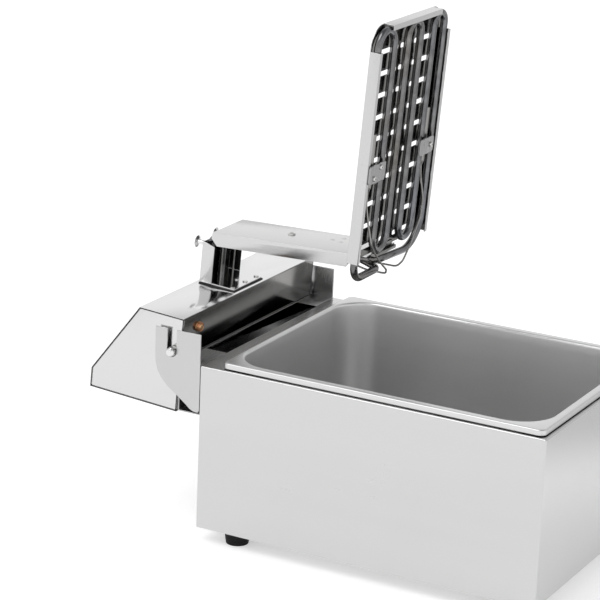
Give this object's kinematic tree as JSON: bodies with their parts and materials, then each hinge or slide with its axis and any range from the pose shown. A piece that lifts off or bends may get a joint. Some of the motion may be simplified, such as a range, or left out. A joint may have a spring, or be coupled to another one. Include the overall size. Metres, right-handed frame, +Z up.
{
  "type": "deep fryer",
  "caption": "Countertop electric deep fryer: box casing with a drawn oil pan, and a hinged control head whose heating element and slotted guard plate tilt up out of the pan to drain.",
  "frame": {"origin": "middle of the overall box of the tilted-back fryer, on the surface its feet stand on", "axes": "+X from the hinge side (rear) to the front of the casing, +Y across the casing along the pivot pins, +Z up"},
  "size_m": [0.5093, 0.2954, 0.5393],
  "materials": {
    "casing_steel": "satin brushed stainless",
    "pan_steel": "matt drawn stainless",
    "polished_steel": "bright polished stainless",
    "cover_steel": "bright stainless sheet",
    "element_sheath": "dark heat-treated alloy tube",
    "capillary_steel": "bright drawn tube",
    "zinc_steel": "zinc plated",
    "black_rubber": "matt",
    "brass": "turned",
    "black_plastic": "fine matt",
    "dial_aluminium": "anodised",
    "red_plastic": "gloss",
    "green_lens": "translucent gloss",
    "amber_lens": "translucent gloss",
    "ceramic": "unglazed ceramic"
  },
  "bodies": {
    "base": {"casing_shell": "casing_steel", "base_plate": "casing_steel", "rubber_feet": "black_rubber", "foot_screws": "zinc_steel", "rear_bracket": "casing_steel", "ear_plate_near": "casing_steel", "ear_plate_far": "casing_steel", "ear_rivets": "zinc_steel", "oil_pan": "pan_steel"},
    "pivot": {"pivot_rollers": "zinc_steel"},
    "head": {"end_cap_near": "polished_steel", "end_cap_far": "polished_steel", "head_wrap": "polished_steel", "head_bottom_plate": "polished_steel", "element_flange": "polished_steel", "hanger_studs": "polished_steel", "riser_cover": "cover_steel", "drop_cover": "cover_steel", "guard_plate": "cover_steel", "leg_bracket": "cover_steel", "bulb_clip_near": "cover_steel", "bulb_clip_far": "cover_steel", "heating_element": "element_sheath", "thermostat_bulb": "capillary_steel", "limiter_bulb": "capillary_steel", "pivot_studs": "zinc_steel", "bottom_plate_nuts": "zinc_steel", "flange_screws": "zinc_steel", "cover_screw": "zinc_steel", "clip_screws": "zinc_steel", "earth_stud": "zinc_steel", "flange_gasket": "black_rubber", "element_terminals": "brass", "control_thermostat": "black_plastic", "limit_thermostat": "black_plastic", "safety_switch": "black_plastic", "cable_gland": "black_plastic", "gland_nut": "black_plastic", "reset_collar": "black_plastic", "dial_ring": "dial_aluminium", "power_lamp": "green_lens", "heat_lamp": "amber_lens", "terminal_block": "ceramic"},
    "knob": {"control_knob": "black_plastic"},
    "reset": {"reset_button": "red_plastic"},
    "plunger": {"interlock_plunger": "brass"}
  },
  "joints": [
    {"name": "head_lift", "type": "slide", "parent": "base", "child": "pivot", "axis": [0, 0, 1], "range_m": [0, 0.032]},
    {"name": "head_tilt", "type": "hinge", "parent": "pivot", "child": "head", "pos_m": [-0.15495, 0, 0.1965], "axis": [0, 1, 0], "range_deg": [0, 86.1]},
    {"name": "knob_turn", "type": "hinge", "parent": "head", "child": "knob", "pos_m": [-0.23328, 0.0535, 0.18581], "axis": [-0.7985, 0, 0.602], "range_deg": [0, 300]},
    {"name": "reset_push", "type": "slide", "parent": "head", "child": "reset", "axis": [0.068, 0, 0.9977], "range_m": [0, 0.003], "stiffness_N_per_m": 700, "springref_m": -0.001},
    {"name": "plunger_slide", "type": "slide", "parent": "head", "child": "plunger", "axis": [-0.9977, 0, 0.068], "range_m": [0, 0.0046]}
  ],
  "couplings": [
    {"joint": "plunger_slide", "follows": "head_tilt", "m_per_rad": 0.00306}
  ]
}
